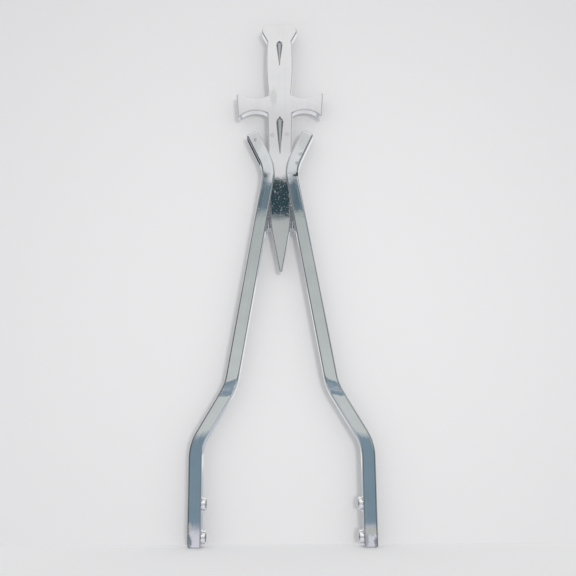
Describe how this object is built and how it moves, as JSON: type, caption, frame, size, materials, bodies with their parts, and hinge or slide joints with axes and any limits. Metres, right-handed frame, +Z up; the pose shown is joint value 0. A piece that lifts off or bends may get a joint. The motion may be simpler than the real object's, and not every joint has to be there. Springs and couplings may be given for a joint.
{
  "type": "sissy bar",
  "caption": "Chromed motorcycle sissy bar: bent square bars with flared horns, a sword-shaped plate welded between them, and bolt bosses on the inner faces of the legs.",
  "frame": {"origin": "midway between the two feet, on the plane of the legs' lower ends and in the middle of the bars' depth", "axes": "+Z up along the legs, +X to the right as seen from the front, front face towards -Y"},
  "size_m": [0.1738, 0.0126, 0.5192],
  "materials": {
    "bar_chrome": "polished chrome plate on steel bar, lightly worn and stained",
    "sword_chrome": "bright chrome plate with small pits",
    "boss_chrome": "turned and chrome plated",
    "weld_chrome": "plated weld metal, softly rippled"
  },
  "bodies": {
    "root": {"left_bar": "bar_chrome", "right_bar": "bar_chrome", "sword": "sword_chrome", "left_upper_boss": "boss_chrome", "left_lower_boss": "boss_chrome", "right_upper_boss": "boss_chrome", "right_lower_boss": "boss_chrome", "left_upper_boss_weld": "weld_chrome", "left_lower_boss_weld": "weld_chrome", "right_upper_boss_weld": "weld_chrome", "right_lower_boss_weld": "weld_chrome", "left_fill_weld": "weld_chrome", "right_fill_weld": "weld_chrome", "left_seam_weld": "weld_chrome", "right_seam_weld": "weld_chrome"}
  },
  "joints": []
}
